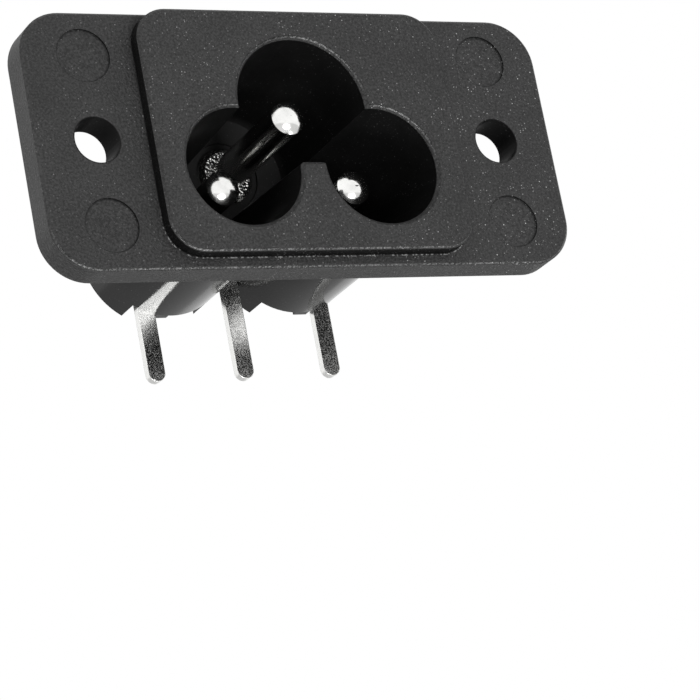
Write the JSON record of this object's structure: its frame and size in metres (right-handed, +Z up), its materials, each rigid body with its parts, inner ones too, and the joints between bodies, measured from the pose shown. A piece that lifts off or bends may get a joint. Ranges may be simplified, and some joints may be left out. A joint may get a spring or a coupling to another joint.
{
  "type": "panel mount appliance inlet socket",
  "caption": "Black moulded cloverleaf mains inlet with screw ears, round contact pins and straight solder legs, for a panel and a circuit board.",
  "frame": {"origin": "on the flange's front face, midway between the two screw holes", "axes": "+X to the right seen from the front, +Y the way a plug goes in, +Z up with the earth pin on top and the solder legs pointing down"},
  "size_m": [0.0388, 0.0171, 0.0211],
  "materials": {
    "moulding": "spark eroded matte",
    "pin_plate": "bright nickel plate",
    "terminal_plate": "bright tin plate"
  },
  "bodies": {
    "root": {"housing": "moulding", "earth_pin": "pin_plate", "line_pin": "pin_plate", "neutral_pin": "pin_plate", "earth_terminal": "terminal_plate", "line_terminal": "terminal_plate", "neutral_terminal": "terminal_plate"}
  },
  "joints": []
}
